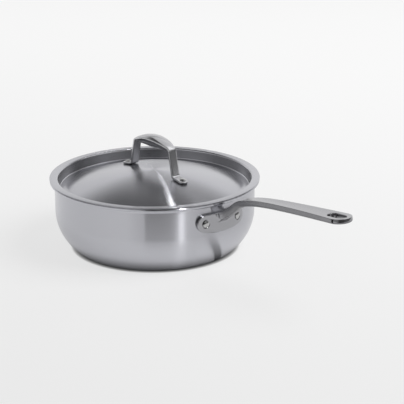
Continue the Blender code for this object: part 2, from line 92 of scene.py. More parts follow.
# Run since the row before, heading in degrees, then half width, thickness, dish and band in mm
HANDLE_ROWS = (
    (0.0, 30.0, 15.0, 12.5, 1.4, 0.5),
    (5.0, 31.5, 10.8, 9.4, 1.6, 0.5),
    (15.0, 36.0, 8.2, 8.4, 1.4, 0.6),
    (16.0, 42.0, 8.0, 8.2, 1.0, 0.8),
    (14.0, 18.0, 8.3, 8.6, 0.6, 2.4),
    (30.0, 9.0, 9.2, 8.2, 0.5, 4.4),
    (30.0, 6.0, 10.2, 8.0, 0.5, 4.4),
    (45.0, 5.0, 11.9, 7.7, 0.4, 4.2),
    (46.3, 4.5, 14.5, 7.0, 0.3, 3.6),
)
ROW_STEPS = 10  # sections from one row to the next
NECK_TURN = 8.0  # the run in mm over which upright sections turn square to the handle's path
NECK_START = 7.5  # the run in mm at which the neck leaves the curve that joins it to the bracket
NECK_SPREAD = 2.4 * MM
NECK_SINK = 0.05 * MM  # how deep the neck's foot lies in the plate
NECK_RINGS = 8
BAND_SLOPE = 0.12
TOP_STEPS = 6  # flats in half of the dished top
UNDERSIDE_STEPS = 10  # flats in half of the underside
UNDERSIDE_POWER = 3.0  # how full the underside is, where 2 is an ellipse
TOP_SOFTNESS = 0.6 * MM
BAND_SOFTNESS = 0.9 * MM
HOLE_LENGTH = 25.0 * MM
HOLE_WIDTH = 13.0 * MM
HOLE_MARGIN = 5.5 * MM
HOLE_SOFTNESS = 0.8 * MM
TIP_STEPS = 32
EDGE_STEPS = 5  # flats in the rounded edge of the plate and of the hanging hole

# The lid's grip
FOOT_REACH = 53.0 * MM
FOOT_TILT = math.asin(FOOT_REACH / CROWN_RADIUS)
FOOT_HALF = 1.5 * MM
FOOT_WIDTH = 6.4 * MM
LEG_HALF = 1.75 * MM
LEG_WIDTH = 5.8 * MM
LEG_LEAN = math.radians(11.6)
ARCH_TOP = 44.0 * MM
ARCH_RADIUS = 70.0 * MM
ARCH_ANGLE = math.radians(26.9)
ARCH_WIDTH = 10.5 * MM
ARCH_CROWN = 3.7 * MM
ARCH_BELLY = 12.4 * MM
ARCH_POWER = 1.7  # how full the arch's section is, where 2 is an ellipse
LEG_POWER = 5.0
CORNER_BEND = 4.0 * MM
FOOT_BEND = 4.0 * MM
GRIP_STEPS = 24  # flats in half a section
ARCH_STEPS = 26
CORNER_STEPS = 10
FOOT_STEPS = 12
TOE_STEPS = 24

# Rivets: shank, visible head's radius and rise, hidden head's radius and rise
PAN_RIVET = (3.2 * MM, 4.0 * MM, 1.5 * MM, 6.5 * MM, 1.8 * MM)
LID_RIVET = (2.2 * MM, 3.4 * MM, 1.2 * MM, 4.8 * MM, 1.4 * MM)
HEAD_BRIM = 0.4 * MM  # height of a head's upright edge
HEAD_EDGE = 0.1 * MM  # how much of that edge is rounded off
HEAD_DOME = 0.985  # the share of a head's radius that its dome covers
HEAD_STEPS = 8
HEAD_ROUND = 48
DISH_RADIUS = 5.3 * MM
DISH_DEPTH = 0.5 * MM
DISH_RIM = 0.3 * MM  # how much wider the dish is at the plate's face
DISH_HEEL = (0.1 * MM, 0.2 * MM)  # its wall's foot: inside its radius, over its floor
DISH_FLAT = 0.5 * MM  # how much narrower its floor is
DISH_CLEAR = (0.9 * MM, 0.5 * MM)  # its cutter's end: past its radius, over the plate's face
DISH_ROUND = 64


def clear_selection():
    """Leaves nothing selected, so that an operator reaches only the piece in hand."""
    bpy.ops.object.select_all(action="DESELECT")


def pick(piece):
    """Makes a piece the only selected and the active one."""
    clear_selection()
    piece.select_set(True)
    bpy.context.view_layer.objects.active = piece


def new_piece(name):
    """Names the primitive that was just added, with its place moved into its mesh."""
    piece = bpy.context.object
    piece.name = piece.data.name = name
    bpy.ops.object.transform_apply(location=True, rotation=True, scale=True)
    return piece


def open_edit(piece):
    """Opens a piece's mesh for editing."""
    pick(piece)
    bpy.ops.object.mode_set(mode="EDIT")


def close_edit():
    """Ends the editing of a mesh."""
    bpy.ops.object.mode_set(mode="OBJECT")


def apply_modifiers(piece):
    """Makes what a piece's modifiers do a part of its mesh."""
    pick(piece)
    for modifier in list(piece.modifiers):
        bpy.ops.object.modifier_apply(modifier=modifier.name)


def close_ends(piece, fill):
    """Closes the open ends that are left, at a point or with a face."""
    open_edit(piece)
    bpy.ops.mesh.select_mode(type="EDGE")
    bpy.ops.mesh.select_all(action="DESELECT")
    bpy.ops.mesh.select_non_manifold()
    if fill:
        bpy.ops.mesh.edge_face_add()
    else:
        bpy.ops.mesh.merge(type="COLLAPSE")
    close_edit()


def finish_skin(piece):
    """Welds a closed skin, turns its faces out and shades it."""
    open_edit(piece)
    bpy.ops.mesh.select_mode(type="VERT")
    bpy.ops.mesh.select_all(action="SELECT")
    bpy.ops.mesh.remove_doubles(threshold=WELD)
    bpy.ops.mesh.normals_make_consistent(inside=False)
    close_edit()
    pick(piece)
    bpy.ops.object.shade_smooth_by_angle(angle=SMOOTH_BELOW)


def arc(centre, radius, start, end, steps):
    """Points on an arc of a profile, between angles in radians from +X."""
    angles = [start + (end - start) * i / steps for i in range(steps + 1)]
    return [(centre[0] + radius * math.cos(a), centre[1] + radius * math.sin(a)) for a in angles]


def turn_skin(name, profile, flats):
    """A ring drawn at a profile's first point, then extruded and resized to each next one.

    The profile holds (radius, height) points, and one on the axis closes the skin there.
    """
    clear_selection()
    radius, height = profile[0]
    bpy.ops.mesh.primitive_circle_add(vertices=flats, radius=radius, location=(0.0, 0.0, height))
    piece = new_piece(name)
    open_edit(piece)
    bpy.ops.mesh.select_all(action="SELECT")
    for next_radius, next_height in profile[1:]:
        rise = (0.0, 0.0, next_height - height)
        bpy.ops.mesh.extrude_region_move(TRANSFORM_OT_translate={"value": rise})
        if next_radius > 0.0:
            factor = next_radius / radius
            bpy.ops.transform.resize(value=(factor, factor, 1.0), center_override=(0.0, 0.0, 0.0))
        else:
            bpy.ops.mesh.merge(type="CENTER")
        radius, height = next_radius, next_height
    close_edit()
    return piece


def skin_through(name, rings):
    """A skin through rings of points: a circle laid on the first, and extruded on to each next."""
    clear_selection()
    bpy.ops.mesh.primitive_circle_add(vertices=len(rings[0]))
    piece = new_piece(name)
    for vert, point in zip(piece.data.vertices, rings[0]):
        vert.co = point
    open_edit(piece)
    bpy.ops.mesh.select_all(action="SELECT")
    for ring, following in zip(rings, rings[1:]):
        bpy.ops.mesh.extrude_region_move()
        lay_on(piece, ring, following)
    close_edit()
    return piece


def lay_on(piece, ring, following):
    """Moves the selected points, which lie on one ring, to the same places of the next ring."""
    places = KDTree(len(ring))
    for i, point in enumerate(ring):
        places.insert(point, i)
    places.balance()
    bm = bmesh.from_edit_mesh(piece.data)
    for vert in bm.verts:
        if vert.select:
            vert.co = following[places.find(vert.co)[1]]
    bmesh.update_edit_mesh(piece.data)


def select_points(piece, wanted):
    """Selects, in edit mode, the points that a test picks and the edges between them."""
    bpy.ops.mesh.select_mode(type="VERT")
    bpy.ops.mesh.select_all(action="DESELECT")
    bm = bmesh.from_edit_mesh(piece.data)
    for vert in bm.verts:
        if wanted(vert.co):
            vert.select_set(True)
    bm.select_flush_mode()
    bmesh.update_edit_mesh(piece.data)
    bpy.ops.mesh.select_mode(type="EDGE")


def thicken(piece, thickness, way, edge):
    """Gives a sheet its thickness, up (1) or down (-1) from where it is drawn, and rounds its rim."""
    open_edit(piece)
    bpy.ops.mesh.select_all(action="SELECT")
    bpy.ops.mesh.normals_make_consistent(inside=False)
    close_edit()
    lowest = min(piece.data.polygons, key=lambda face: face.center.z)
    sheet = piece.modifiers.new("Sheet", "SOLIDIFY")
    sheet.thickness = thickness
    sheet.offset = way if lowest.normal.z > 0.0 else -way
    sheet.use_even_offset = True
    rim = piece.modifiers.new("Rim", "BEVEL")
    rim.width = edge
    rim.segments = RIM_SEGMENTS
    rim.limit_method = "ANGLE"
    rim.angle_limit = RIM_ANGLE
    apply_modifiers(piece)


def cut(piece, cutter):
    """Takes a cutter's shape out of a piece, and the cutter away."""
    boolean = piece.modifiers.new("Cut", "BOOLEAN")
    boolean.operation = "DIFFERENCE"
    boolean.object = cutter
    apply_modifiers(piece)
    bpy.data.objects.remove(cutter, do_unlink=True)


def put(piece, place):
    """Moves a piece's mesh, and leaves its object at the origin."""
    pick(piece)
    piece.matrix_world = place
    bpy.ops.object.transform_apply(location=True, rotation=True, scale=True)


def settle(piece, body, material, slot, *nodes):
    """Gives a finished piece its material and ties it to the solids that it stands for."""
    piece.data.materials.clear()
    piece.data.materials.append(material)
    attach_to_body(piece, body)
    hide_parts(*nodes)
    return piece


# Pan body


def pan_profile():
    """The pan's outer skin, from under the lip's edge down to the middle of the base."""
    under_lip = PAN_HEIGHT - WALL
    flare = (PAN_RADIUS + LIP_CURVE, under_lip - LIP_CURVE)
    reach = PAN_RADIUS - BASE_RADIUS
    rise = SIDE_HEIGHT - HEEL_RADIUS
    side_radius = (reach**2 + rise**2 - HEEL_RADIUS**2) / (2 * (reach - HEEL_RADIUS))
    side = (PAN_RADIUS - side_radius, SIDE_HEIGHT)
    heel = (BASE_RADIUS, HEEL_RADIUS)
    heel_start = math.atan2(heel[1] - side[1], heel[0] - side[0])
    points = [(LIP_RADIUS, under_lip)]
    points += arc(flare, LIP_CURVE, QUARTER, 2 * QUARTER, steps=10)
    points += arc(side, side_radius, 0.0, heel_start, steps=28)
    points += arc(heel, HEEL_RADIUS, heel_start, -QUARTER, steps=8)[1:]
    return points + [(BASE_RADIUS * share, 0.0) for share in BASE_RINGS] + [(0.0, 0.0)]


def make_pan_body():
    """The pan, drawn as its outer skin and thickened inwards."""
    piece = turn_skin("pan", pan_profile(), ROUND)
    thicken(piece, WALL, 1, LIP_EDGE)
    finish_skin(piece)
    return piece


# Lid


def lid_profile():
    """The lid's top skin, from the flange's edge in to the middle of the crown."""
    crown = (0.0, CROWN_TOP - CROWN_RADIUS)
    fillet_height = CHANNEL_FLOOR + CROWN_FILLET
    span = CROWN_RADIUS + CROWN_FILLET
    fillet = (math.sqrt(span**2 - (fillet_height - crown[1]) ** 2), fillet_height)
    meet = math.atan2(fillet[1] - crown[1], fillet[0])
    cut_off = math.tan(STEP_LEAN / 2)
    shoulder_radius = STEP_FOOT_RADIUS + STEP_DEPTH / math.tan(STEP_LEAN)
    foot = (STEP_FOOT_RADIUS - STEP_FOOT * cut_off, CHANNEL_FLOOR + STEP_FOOT)
    shoulder = (shoulder_radius + STEP_SHOULDER * cut_off, FLANGE_TOP - STEP_SHOULDER)
    points = arc(crown, CROWN_RADIUS, QUARTER, meet, steps=30)
    points += arc(fillet, CROWN_FILLET, meet - 2 * QUARTER, -QUARTER, steps=10)[1:]
    points += arc(foot, STEP_FOOT, -QUARTER, STEP_LEAN - QUARTER, steps=8)
    points += arc(shoulder, STEP_SHOULDER, QUARTER + STEP_LEAN, QUARTER, steps=10)
    points.append((FLANGE_RADIUS, FLANGE_TOP))
    return points[::-1]


def make_lid_shell():
    """The lid, drawn as its top skin, which closes on the axis, and thickened downwards."""
    profile = lid_profile()
    profile[-1] = (0.0, CROWN_TOP)
    piece = turn_skin("lid", profile, ROUND)
    thicken(piece, LID_SHEET, -1, LID_EDGE)
    finish_skin(piece)
    return piece


# Bracket and long handle


def plate_outline(inset=0.0):
    """The bracket's outline laid flat, as (across, up) points, drawn in by an inset."""
    lift = (LOBE_REACH**2 - PLATE_DROP**2) / (2 * PLATE_DROP)
    bow = lift + LOBE_RADIUS + PLATE_DROP - inset
    lobe = LOBE_RADIUS - inset
    swing = math.atan2(LOBE_REACH, lift)
    points = arc((LOBE_REACH, 0.0), lobe, QUARTER, swing - QUARTER, steps=32)
    points += arc((0.0, lift), bow, swing - QUARTER, -swing - QUARTER, steps=24)[1:-1]
    points += arc((-LOBE_REACH, 0.0), lobe, -swing - QUARTER, -3 * QUARTER, steps=32)
    points += [(LOBE_REACH * (2 * i / PLATE_STEPS - 1), lobe) for i in range(1, PLATE_STEPS)]
    return points


def make_plate():
    """The bracket's plate: cut flat, its front edge rounded, then bent round the wall."""
    levels = [(0.0, 0.0), (0.0, PLATE_THICK - PLATE_EDGE)]
    for step in range(1, EDGE_STEPS + 1):
        angle = QUARTER * step / EDGE_STEPS
        inset = PLATE_EDGE * (1.0 - math.cos(angle))
        levels.append((inset, PLATE_THICK - PLATE_EDGE * (1.0 - math.sin(angle))))
    rings = []
    for inset, depth in levels:
        rings.append([Vector((across, depth, up)) for across, up in plate_outline(inset)])
    piece = skin_through("bracket_plate", rings)
    open_edit(piece)
    bpy.ops.mesh.select_mode(type="EDGE")
    bpy.ops.mesh.edge_face_add()
    close_edit()
    close_ends(piece, fill=True)
    open_edit(piece)
    folds = int((LOBE_REACH + LOBE_RADIUS) / FOLD_STEP)
    for fold in range(-folds, folds + 1):
        bpy.ops.mesh.select_all(action="SELECT")
        bpy.ops.mesh.bisect(plane_co=(fold * FOLD_STEP, 0.0, 0.0), plane_no=(1.0, 0.0, 0.0))
    close_edit()
    for vert in piece.data.vertices:
        angle = vert.co.x / PLATE_INNER
        radius = PLATE_INNER + vert.co.y
        vert.co = (radius * math.cos(angle), radius * math.sin(angle), RIVET_HEIGHT + vert.co.z)
    finish_skin(piece)
    for side in (-1, 1):
        cut(piece, make_dish(side))
    finish_skin(piece)
    return piece


def make_dish(side):
    """The shallow dish that a rivet's head sits in, as a cutter with a sloping wall."""
    floor = PLATE_OUTER - DISH_DEPTH
    profile = [(DISH_RADIUS + DISH_CLEAR[0], PLATE_OUTER + DISH_CLEAR[1])]
    profile += [(DISH_RADIUS + DISH_RIM, PLATE_OUTER)]
    profile += [(DISH_RADIUS - DISH_HEEL[0], floor + DISH_HEEL[1])]
    profile += [(DISH_RADIUS - DISH_FLAT, floor), (0.0, floor)]
    cutter = turn_skin("dish", profile, DISH_ROUND)
    close_ends(cutter, fill=True)
    finish_skin(cutter)
    put(cutter, wall_place(side * RIVET_ANGLE))
    return cutter


def wall_place(angle):
    """A frame at the rivets' height whose Z axis runs out from the pan's axis."""
    turn = Matrix.Rotation(angle, 4, "Z") @ Matrix.Rotation(QUARTER, 4, "Y")
    return Matrix.Translation((0.0, 0.0, RIVET_HEIGHT)) @ turn


def soften(before, corner, after, radius):
    """Points of a small curve that takes the place of a corner."""
    back, onward = before - corner, after - corner
    reach = radius / math.tan(back.angle(onward) / 2)
    start = corner + back.normalized() * min(reach, SOFTEN_LIMIT * back.length)
    end = corner + onward.normalized() * min(reach, SOFTEN_LIMIT * onward.length)
    shares = (0.0, 1 / 3, 2 / 3, 1.0)
    return [start.lerp(corner, s).lerp(corner.lerp(end, s), s) for s in shares]


def handle_half(half_width, thickness, dish, band):
    """Half of the handle's section, from the middle of its top to the middle of its underside."""
    top = thickness / 2
    top_half = half_width - band * BAND_SLOPE
    crease = top - band
    shares = [i / TOP_STEPS for i in range(TOP_STEPS)]
    points = [Vector((top_half * s, top - dish * (1.0 - s * s))) for s in shares]
    edge, corner = Vector((top_half, top)), Vector((half_width, crease))
    power = 2 / UNDERSIDE_POWER
    under = []
    for step in range(1, UNDERSIDE_STEPS):
        angle = QUARTER * step / UNDERSIDE_STEPS
        across = half_width * math.cos(angle) ** power
        under.append(Vector((across, crease - (thickness - band) * math.sin(angle) ** power)))
    points += soften(points[-1], edge, corner, TOP_SOFTNESS)
    points += soften(edge, corner, under[0], BAND_SOFTNESS)
    return points + under + [Vector((0.0, -top))]


def whole_ring(half):
    """Mirrors half a section into a ring of (across, up) points."""
    return half + [Vector((-point.x, point.y)) for point in half[-2:0:-1]]


def smooth_value(runs, values, run):
    """The value at a run, on a smooth curve through the rows."""
    last = len(runs) - 2
    i = min(last, max(0, sum(r <= run for r in runs) - 1))
    slopes = []
    for j in (i, i + 1):
        low, high = max(0, j - 1), min(last + 1, j + 1)
        slopes.append((values[high] - values[low]) / (runs[high] - runs[low]))
    span = runs[i + 1] - runs[i]
    t = (run - runs[i]) / span
    ends = (2 * t**3 - 3 * t**2 + 1) * values[i] + (3 * t**2 - 2 * t**3) * values[i + 1]
    return ends + span * ((t**3 - 2 * t**2 + t) * slopes[0] + (t**3 - t**2) * slopes[1])


def walk(point, heading, length, turn, steps):
    """Places along an arc in the XZ plane: (point, heading) after each step."""
    places = []
    for _ in range(steps):
        bend = turn / steps / 2
        chord = length / steps * (math.sin(bend) / bend if bend else 1.0)
        heading += bend
        point = point + Vector((math.cos(heading), 0.0, math.sin(heading))) * chord
        heading += bend
        places.append((point, heading))
    return places


def section_place(point, lean):
    """A frame with X along the piece, Y across it and Z up out of its top."""
    return Matrix.Translation(point) @ Matrix.Rotation(-lean, 4, "Y")


def laid(place, ring):
    """A section's points, put in its place."""
    return [place @ Vector((0.0, point.x, point.y)) for point in ring]


def handle_path():
    """(run in mm, point, heading) along the middle of the handle."""
    point, run = HANDLE_ROOT, 0.0
    path = [(run, point, math.radians(HANDLE_ROWS[0][1]))]
    for row, following in zip(HANDLE_ROWS, HANDLE_ROWS[1:]):
        heading = math.radians(row[1])
        turn = math.radians(following[1]) - heading
        for i, (point, facing) in enumerate(walk(point, heading, following[0] * MM, turn, ROW_STEPS), 1):
            path.append((run + following[0] * i / ROW_STEPS, point, facing))
        run += following[0]
    return path


def root_rings(ring, section, heading):
    """Rings of the curve that spreads the neck out on to the bracket, from the bracket outwards."""
    ahead = Vector((math.cos(heading), 0.0, math.sin(heading)))
    top_limit = RIVET_HEIGHT + LOBE_RADIUS - PLATE_EDGE
    sunk_face = PLATE_OUTER - NECK_SINK
    feet, spreads = [], []
    for i, point in enumerate(ring):
        face = math.sqrt(sunk_face**2 - point.y**2)
        foot = point - ahead * ((point.x - face) / ahead.x)
        tangent = section[(i + 1) % len(section)] - section[i - 1]
        outward = Vector((-tangent.y, tangent.x)).normalized()
        if outward.dot(section[i]) < 0.0:
            outward = -outward
        foot.z = min(foot.z, top_limit)
        spread = foot + Vector((0.0, outward.x, outward.y)) * NECK_SPREAD
        spread.z = min(spread.z, top_limit)
        spread.x = math.sqrt(sunk_face**2 - spread.y**2)
        feet.append(foot)
        spreads.append(spread)
    rings = []
    for step in range(NECK_RINGS):
        t = step / NECK_RINGS
        rings.append([s.lerp(f, t).lerp(f.lerp(p, t), t) for s, f, p in zip(spreads, feet, ring)])
    return rings


def spin_end(piece, place, steps):
    """Closes a skin's open end with a round tip: half of its last section, spun about the middle."""
    back = place.inverted()
    open_edit(piece)
    select_points(piece, lambda co: abs((back @ co).x) < TOUCH and (back @ co).y < TOUCH)
    upwards = place.to_3x3() @ Vector((0.0, 0.0, 1.0))
    bpy.ops.mesh.spin(steps=steps, angle=-2 * QUARTER, center=place.translation, axis=upwards)
    close_edit()


def make_handle_bar():
    """The neck, the stick and the round tip with its hanging hole."""
    runs = [sum(row[0] for row in HANDLE_ROWS[: i + 1]) for i in range(len(HANDLE_ROWS))]
    rings = []
    for run, point, heading in handle_path():
        if run < NECK_START:
            continue
        sizes = [smooth_value(runs, [row[i] * MM for row in HANDLE_ROWS], run) for i in range(2, 6)]
        half = handle_half(*sizes)
        place = section_place(point, heading * min(1.0, run / NECK_TURN))
        ring = laid(place, whole_ring(half))
        if not rings:
            rings = root_rings(ring, whole_ring(half), heading)
        rings.append(ring)
    piece = skin_through("handle_bar", rings)
    spin_end(piece, place, TIP_STEPS)
    finish_skin(piece)
    cut(piece, make_hole_cutter(place, half))
    finish_skin(piece)
    return piece


def slot_ring(grow, height):
    """A round-ended slot's outline, grown outwards, at a height."""
    half = (HOLE_LENGTH - HOLE_WIDTH) / 2
    radius = HOLE_WIDTH / 2 + grow
    points = arc((half, 0.0), radius, -QUARTER, QUARTER, steps=24)
    points += arc((-half, 0.0), radius, QUARTER, 3 * QUARTER, steps=24)
    return [Vector((x, y, height)) for x, y in points]


def make_hole_cutter(place, half):
    """The hanging hole as a cutter that flares at both faces, so that its rims come out rounded."""
    faces = (half[0].y, half[-1].y)
    rings = []
    for face, way in zip(faces, (1, -1)):
        flare = [slot_ring(HOLE_SOFTNESS * 2.0, face + way * HOLE_SOFTNESS)]
        for i in range(EDGE_STEPS + 1):
            angle = QUARTER * i / EDGE_STEPS
            grow = HOLE_SOFTNESS * (1.0 - math.sin(angle))
            flare.append(slot_ring(grow, face - way * HOLE_SOFTNESS * (1.0 - math.cos(angle))))
        rings += flare if way > 0 else flare[::-1]
    tip_radius = HANDLE_ROWS[-1][2] * MM
    centre = tip_radius - HOLE_MARGIN - HOLE_LENGTH / 2
    cutter = skin_through("hanging_hole", rings)
    close_ends(cutter, fill=True)
    finish_skin(cutter)
    put(cutter, place @ Matrix.Translation((centre, 0.0, 0.0)))
    return cutter


def make_pan_handle():
    """The long handle and its bracket, as one piece."""
    plate, bar = make_plate(), make_handle_bar()
    pick(plate)
    bar.select_set(True)
    bpy.ops.object.join()
    plate.name = plate.data.name = "long_handle"
    return plate


# The lid's grip


def grip_half(half_width, crown, belly, power):
    """Half of the grip's section, from the middle of its top to the middle of its underside."""
    points = []
    for step in range(GRIP_STEPS + 1):
        angle = QUARTER - 2 * QUARTER * step / GRIP_STEPS
        height = crown if step < GRIP_STEPS // 2 else belly
        across = half_width * abs(math.cos(angle)) ** (2 / power)
        up = math.copysign(height * abs(math.sin(angle)) ** (2 / power), math.sin(angle))
        points.append(Vector((across if 0 < step < GRIP_STEPS else 0.0, up)))
    return points


def blend(start, end, share):
    """The value at a share of the way from one to another."""
    return start + (end - start) * share


def grip_stations():
    """(frame, half section) of each ring of half the grip, from the arch's middle to a rivet."""
    middle = Vector((0.0, 0.0, CROWN_TOP + ARCH_TOP - ARCH_CROWN))
    stations = []
    places = [(middle, 0.0)] + walk(middle, 0.0, ARCH_RADIUS * ARCH_ANGLE, -ARCH_ANGLE, ARCH_STEPS)
    for i, (point, heading) in enumerate(places):
        share = (i / ARCH_STEPS) ** 2
        half = grip_half(blend(ARCH_WIDTH, LEG_WIDTH, share), blend(ARCH_CROWN, LEG_HALF, share),
                         blend(ARCH_BELLY, LEG_HALF, share), blend(ARCH_POWER, LEG_POWER, share**2))
        stations.append((section_place(point, heading), half))
    down_leg = LEG_LEAN - QUARTER
    turn = down_leg + ARCH_ANGLE
    corner = walk(*places[-1], CORNER_BEND * -turn, turn, CORNER_STEPS)
    leg = grip_half(LEG_WIDTH, LEG_HALF, LEG_HALF, LEG_POWER)
    stations += [(section_place(*place), leg) for place in corner]
    foot_turn = -FOOT_TILT - down_leg
    bend = walk(Vector(), down_leg, FOOT_BEND * foot_turn, foot_turn, FOOT_STEPS)
    target = foot_place(1) @ Vector((0.0, 0.0, CLEARANCE + FOOT_HALF))
    gap = target - corner[-1][0] - bend[-1][0]
    leg_x, leg_z = math.cos(down_leg), math.sin(down_leg)
    foot_x, foot_z = math.cos(FOOT_TILT), -math.sin(FOOT_TILT)
    leg_length = (gap.x * foot_z - gap.z * foot_x) / (leg_x * foot_z - leg_z * foot_x)
    knee = corner[-1][0] + Vector((leg_x, 0.0, leg_z)) * leg_length
    for i, (point, heading) in enumerate([(Vector(), down_leg)] + bend):
        share = i / FOOT_STEPS
        thick = blend(LEG_HALF, FOOT_HALF, share)
        half = grip_half(blend(LEG_WIDTH, FOOT_WIDTH, share), thick, thick, LEG_POWER)
        stations.append((section_place(knee + point, heading), half))
    foot = grip_half(FOOT_WIDTH, FOOT_HALF, FOOT_HALF, LEG_POWER)
    stations.append((section_place(target, -FOOT_TILT), foot))
    return stations


def foot_place(side):
    """A frame on the crown at one rivet of the grip, with Z square to the crown."""
    height = CROWN_TOP - CROWN_RADIUS * (1.0 - math.cos(FOOT_TILT))
    on_crown = Matrix.Translation((side * FOOT_REACH, 0.0, height))
    return on_crown @ Matrix.Rotation(side * FOOT_TILT, 4, "Y")


def make_lid_handle():
    """The grip: one half through its stations, with a round foot, and its mirror image."""
    stations = grip_stations()
    piece = skin_through("grip", [laid(place, whole_ring(half)) for place, half in stations])
    spin_end(piece, stations[-1][0], TOE_STEPS)
    mirror = piece.modifiers.new("Other side", "MIRROR")
    mirror.merge_threshold = TOUCH
    apply_modifiers(piece)
    finish_skin(piece)
    return piece


# Rivets


def head_profile(radius, rise, seat, way):
    """A low domed head from near its middle to its seat, standing out from the seat up or down."""
    dome = rise - HEAD_BRIM
    ball = (radius**2 + dome**2) / (2 * dome)
    reach = math.asin(radius / ball)
    points = []
    for step in range(1, HEAD_STEPS + 1):
        angle = reach * step / HEAD_STEPS * HEAD_DOME
        points.append((ball * math.sin(angle), seat + way * (rise - ball * (1.0 - math.cos(angle)))))
    points.append((radius, seat + way * (HEAD_BRIM - HEAD_EDGE)))
    points.append((radius, seat))
    return points


def make_rivet(name, rivet, seats, place):
    """A rivet from its outer head, through its shank, to its hidden head."""
    shank, head, rise, inner_head, inner_rise = rivet
    outer_seat, inner_seat = seats
    profile = head_profile(head, rise, outer_seat, 1)
    profile += [(shank, outer_seat), (shank, inner_seat)]
    profile += head_profile(inner_head, inner_rise, inner_seat, -1)[::-1]
    profile.append((0.0, inner_seat - inner_rise))
    piece = turn_skin(name, profile, HEAD_ROUND)
    close_ends(piece, fill=False)
    put(piece, place)
    finish_skin(piece)
    return piece


# Finishes

LINES_ACROSS = 2400.0  # brushed lines per metre
LINES_AROUND = 3.0  # breaks in a line for each radian round the axis
SMUDGE_SCALE = (24.0, 24.0, 24.0)
WORN_CURVE = (0.505, 0.56)  # the pointiness at which an edge starts to look worn, and is fully so
MEAN_SHADE = 0.97
# What each does to the roughness, as a share of it, and to the shade
SCRATCHES_DO = (0.3, 0.08)
SMUDGES_DO = (0.2, 0.06)
WEAR_DOES = (-0.25, 0.06)
PAINTED_SHADE_DEPTH = 0.5  # the share of its colour that the most shaded face loses to painted shade
DULL_ROUGHNESS = 0.2  # the roughness that goes with a painted shade that takes all its colour
TIP_ROUGHNESS = 0.45  # the share of the roughness that the polished tip keeps
PLATE_ROUGHNESS = 0.55  # and that the bracket keeps
PLATE_SHADE = 1.15
BUMP_HEIGHT = 0.02 * MM
NECK_ZONE = (PLATE_OUTER, PLATE_OUTER + 12.0 * MM)  # from the bracket's face to the neck
PLATE_ZONE = (PLATE_OUTER + 4.0 * MM, PLATE_OUTER + 14.0 * MM)  # where the bracket's polish ends
TIP_FADE = 15.0 * MM


def attach(tree, value, socket):
    """Links an output to a socket, or sets the socket to a plain value."""
    if isinstance(value, bpy.types.NodeSocket):
        tree.links.new(value, socket)
    else:
        socket.default_value = value


def calc(tree, operation, *values):
    """The outcome of a sum on plain numbers and other nodes' outputs."""
    node = tree.nodes.new("ShaderNodeMath")
    node.operation = operation
    for value, socket in zip(values, node.inputs):
        attach(tree, value, socket)
    return node.outputs[0]


def ramp(tree, value, limits, results):
    """Carries a value smoothly from one result to another between two limits."""
    node = tree.nodes.new("ShaderNodeMapRange")
    node.interpolation_type = "SMOOTHSTEP"
    numbers = (value, *limits, *results)
    for number, socket in zip(numbers, node.inputs):
        attach(tree, number, socket)
    return node.outputs[0]


def product(tree, first, *others):
    """Multiplies values together."""
    for other in others:
        first = calc(tree, "MULTIPLY", first, other)
    return first


def vector_calc(tree, operation, first, second=None):
    """The outcome of a sum on one or two vectors, which is a number for a length or a dot product."""
    node = tree.nodes.new("ShaderNodeVectorMath")
    node.operation = operation
    attach(tree, first, node.inputs[0])
    if second is not None:
        attach(tree, second, node.inputs[1])
    return node.outputs["Value" if operation in ("LENGTH", "DOT_PRODUCT") else "Vector"]


def levelled(tree, place):
    """A place or direction without its height."""
    return vector_calc(tree, "MULTIPLY", place, (1.0, 1.0, 0.0))


def separate(tree, vector):
    """The X, Y and Z of a vector."""
    node = tree.nodes.new("ShaderNodeSeparateXYZ")
    tree.links.new(vector, node.inputs[0])
    return tuple(node.outputs)


def noise(tree, place, scale, detail, fourth=None):
    """Cloudy noise from 0 to 1, with its own scale along each axis."""
    node = tree.nodes.new("ShaderNodeTexNoise")
    node.inputs["Scale"].default_value = 1.0
    node.inputs["Detail"].default_value = detail
    tree.links.new(vector_calc(tree, "MULTIPLY", place, scale), node.inputs["Vector"])
    if fourth is not None:
        node.noise_dimensions = "4D"
        tree.links.new(fourth, node.inputs["W"])
    return node.outputs[0]


def turned_lines(tree, place):
    """Fine scratches that run round the axis."""
    level = levelled(tree, place)
    ahead, aside, _ = separate(tree, vector_calc(tree, "NORMALIZE", level))
    rings = tree.nodes.new("ShaderNodeCombineXYZ")
    attach(tree, vector_calc(tree, "LENGTH", level), rings.inputs["X"])
    attach(tree, separate(tree, place)[2], rings.inputs["Y"])
    attach(tree, ahead, rings.inputs["Z"])
    around = calc(tree, "MULTIPLY", aside, LINES_AROUND)
    return noise(tree, rings.outputs[0], (LINES_ACROSS, LINES_ACROSS, LINES_AROUND), 3.0, around)


def spread(tree, value, cloud, amount):
    """A value that a noise moves up and down, by an amount from end to end."""
    return calc(tree, "MULTIPLY_ADD", cloud, amount, calc(tree, "SUBTRACT", value, amount / 2))


def brush_round(tree, shader, place):
    """Turns a shader's highlights along the brushing round the axis, and gives its scratches."""
    tangent = tree.nodes.new("ShaderNodeTangent")
    tangent.direction_type = "RADIAL"
    tangent.axis = "Z"
    tree.links.new(tangent.outputs[0], shader.inputs["Tangent"])
    shader.inputs["Anisotropic Rotation"].default_value = 0.25
    return turned_lines(tree, place)


def distance_out(tree, place):
    """The distance from the pan's axis."""
    return vector_calc(tree, "LENGTH", levelled(tree, place))


def painted_shade_and_dulling(tree, coordinates, shade_and_dull, spared):
    """Painted shade on a face by how it points, from none to the most; the same share makes it rougher."""
    facing_up = separate(tree, coordinates.outputs["Normal"])[2]
    outwards = distance_out(tree, coordinates.outputs["Object"])
    above_lowest = ramp(tree, facing_up, shade_and_dull[:2], (0.0, 1.0))
    below_highest = ramp(tree, facing_up, shade_and_dull[2:], (PAINTED_SHADE_DEPTH, 0.0))
    return product(tree, above_lowest, below_highest, ramp(tree, outwards, NECK_ZONE, (1.0 - spared, 1.0)))


